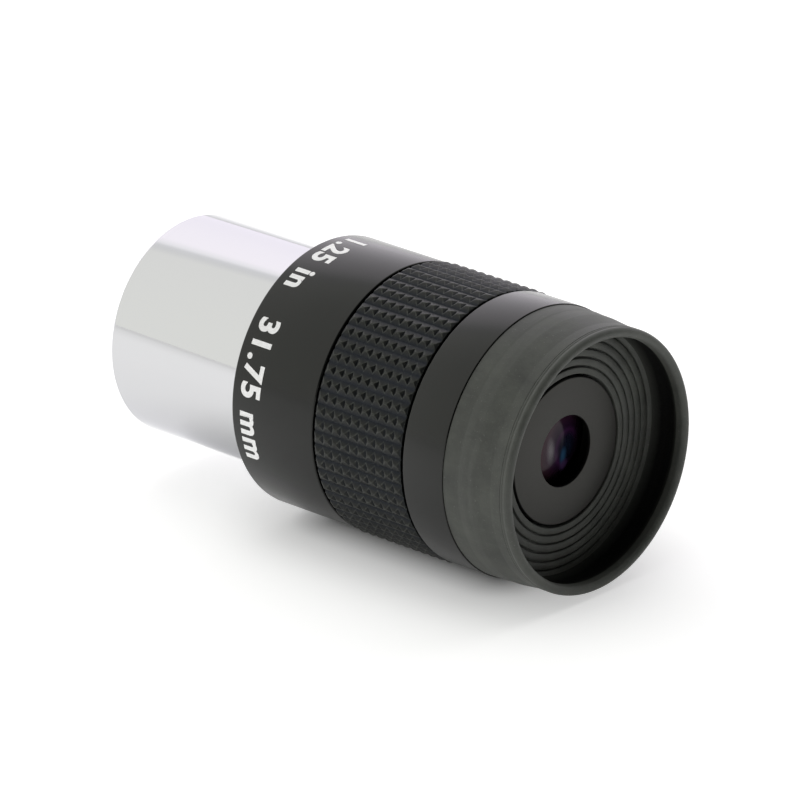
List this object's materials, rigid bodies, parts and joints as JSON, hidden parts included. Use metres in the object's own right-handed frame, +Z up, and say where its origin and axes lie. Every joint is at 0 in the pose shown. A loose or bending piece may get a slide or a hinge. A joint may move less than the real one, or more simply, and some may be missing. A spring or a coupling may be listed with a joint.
{
  "type": "telescope eyepiece",
  "caption": "High-power astronomical eyepiece with a chromed push-in barrel, black body, studded rubber grip, smooth front ring and fold-down rubber eyecup round a small coated eye lens.",
  "frame": {"origin": "on the optical axis, in the plane of the shoulder where the barrel leaves the body", "axes": "+X along the optical axis towards the eye, so the barrel points along -X; +Z up, with the eyepiece lying on its side"},
  "size_m": [0.0778, 0.0394, 0.0394],
  "materials": {
    "chrome_plate": "polished chrome plating over turned brass",
    "black_anodised": "satin black anodised, fine turned grain",
    "cap_black": "matt black anodised",
    "inner_black": "flat black against stray light",
    "grip_rubber": "semi-matt moulded rubber with rows of small studs",
    "eyecup_rubber": "matt soft rubber",
    "coated_eye_glass": "multi-coated optical glass",
    "optical_glass": "multi-coated optical glass"
  },
  "bodies": {
    "housing": {"barrel": "chrome_plate", "body_shell": "black_anodised", "doublet_crown": "optical_glass", "doublet_flint": "optical_glass", "eye_cap": "cap_black", "eye_lens": "coated_eye_glass", "eyecup_base": "eyecup_rubber", "eyecup_skirt": "eyecup_rubber", "field_cell": "inner_black", "field_cell_ring": "inner_black", "field_lens_crown": "optical_glass", "field_lens_flint": "optical_glass", "field_stop": "inner_black", "front_ring": "black_anodised", "front_spacer": "inner_black", "grip_sleeve": "grip_rubber", "lens_tube": "inner_black", "middle_lens": "optical_glass", "rear_spacer": "inner_black", "tube_lock_ring": "inner_black"},
    "cup_rim": {"eyecup_rim": "eyecup_rubber"}
  },
  "joints": [
    {"name": "eyecup_fold", "type": "slide", "parent": "housing", "child": "cup_rim", "axis": [-1, 0, 0], "range_m": [0, 0.0063], "deforming": ["eyecup_skirt"]}
  ]
}
